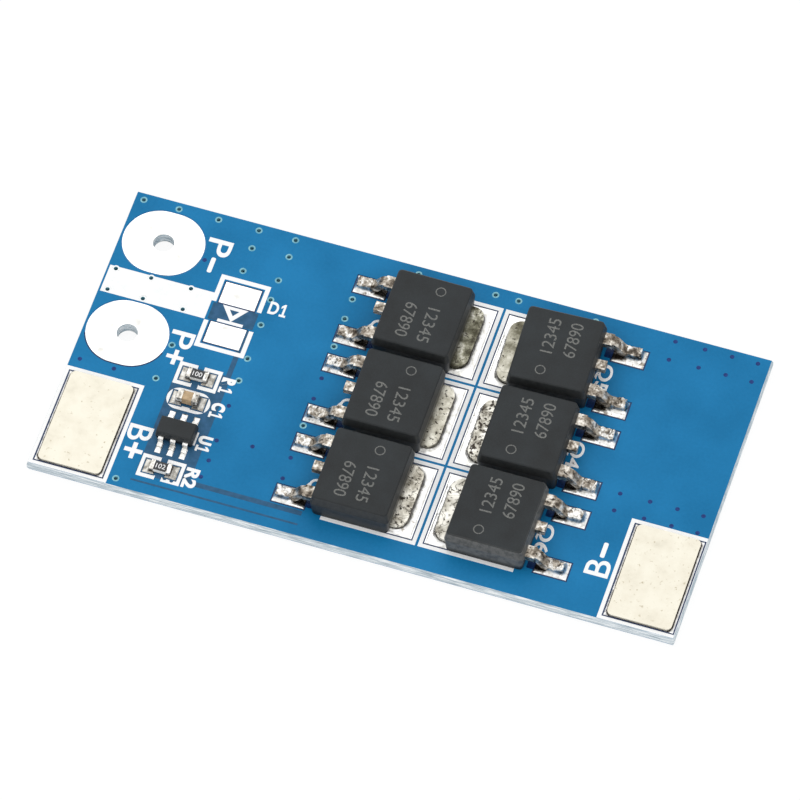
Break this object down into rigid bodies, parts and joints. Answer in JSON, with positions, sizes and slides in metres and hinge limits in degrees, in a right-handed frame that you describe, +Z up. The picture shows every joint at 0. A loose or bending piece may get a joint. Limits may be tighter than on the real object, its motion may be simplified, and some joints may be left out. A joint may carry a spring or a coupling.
{
  "type": "battery management board",
  "caption": "Small blue circuit board with flat-tab power transistors, plated output holes and soldered nickel battery plates.",
  "frame": {"origin": "centre of the board's underside", "axes": "+X along the board's long side towards the negative battery plate, +Y to the back edge where the negative output pad is, +Z up out of the component side"},
  "size_m": [0.05, 0.025, 0.0034],
  "materials": {
    "glass_laminate": "snapped glass-epoxy edge",
    "blue_solder_mask": "semi-gloss ink coat",
    "white_print": "matt screen print",
    "tin": "bright tin coat",
    "solder": "reflowed solder with flux marks",
    "via_copper": "plated copper under mask",
    "nickel": "matt nickel strip",
    "white_ceramic": "fired alumina",
    "tan_ceramic": "fired ceramic",
    "black_glass_coat": "glassy coat",
    "epoxy_moulding": "fine matt moulding"
  },
  "bodies": {
    "root": {"laminate": "glass_laminate", "top_mask": "blue_solder_mask", "bottom_mask": "blue_solder_mask", "print": "white_print", "tinned_pads": "tin", "open_vias": "via_copper", "covered_vias": "via_copper", "p_minus_pad": "tin", "p_plus_pad": "tin", "b_plus_plate": "nickel", "b_minus_plate": "nickel", "r1_ceramic": "white_ceramic", "r1_coat": "black_glass_coat", "r1_ends": "tin", "r2_ceramic": "white_ceramic", "r2_coat": "black_glass_coat", "r2_ends": "tin", "c1_ceramic": "tan_ceramic", "c1_ends": "tin", "u1_moulding": "epoxy_moulding", "u1_leads": "tin", "small_solder": "solder", "q1_moulding": "epoxy_moulding", "q1_tab": "tin", "q1_gate_lead": "tin", "q1_source_lead": "tin", "q1_solder": "solder", "q2_moulding": "epoxy_moulding", "q2_tab": "tin", "q2_gate_lead": "tin", "q2_source_lead": "tin", "q2_solder": "solder", "q3_moulding": "epoxy_moulding", "q3_tab": "tin", "q3_gate_lead": "tin", "q3_source_lead": "tin", "q3_solder": "solder", "q4_moulding": "epoxy_moulding", "q4_tab": "tin", "q4_gate_lead": "tin", "q4_source_lead": "tin", "q4_solder": "solder", "q5_moulding": "epoxy_moulding", "q5_tab": "tin", "q5_gate_lead": "tin", "q5_source_lead": "tin", "q5_solder": "solder", "q6_moulding": "epoxy_moulding", "q6_tab": "tin", "q6_gate_lead": "tin", "q6_source_lead": "tin", "q6_solder": "solder"}
  },
  "joints": []
}
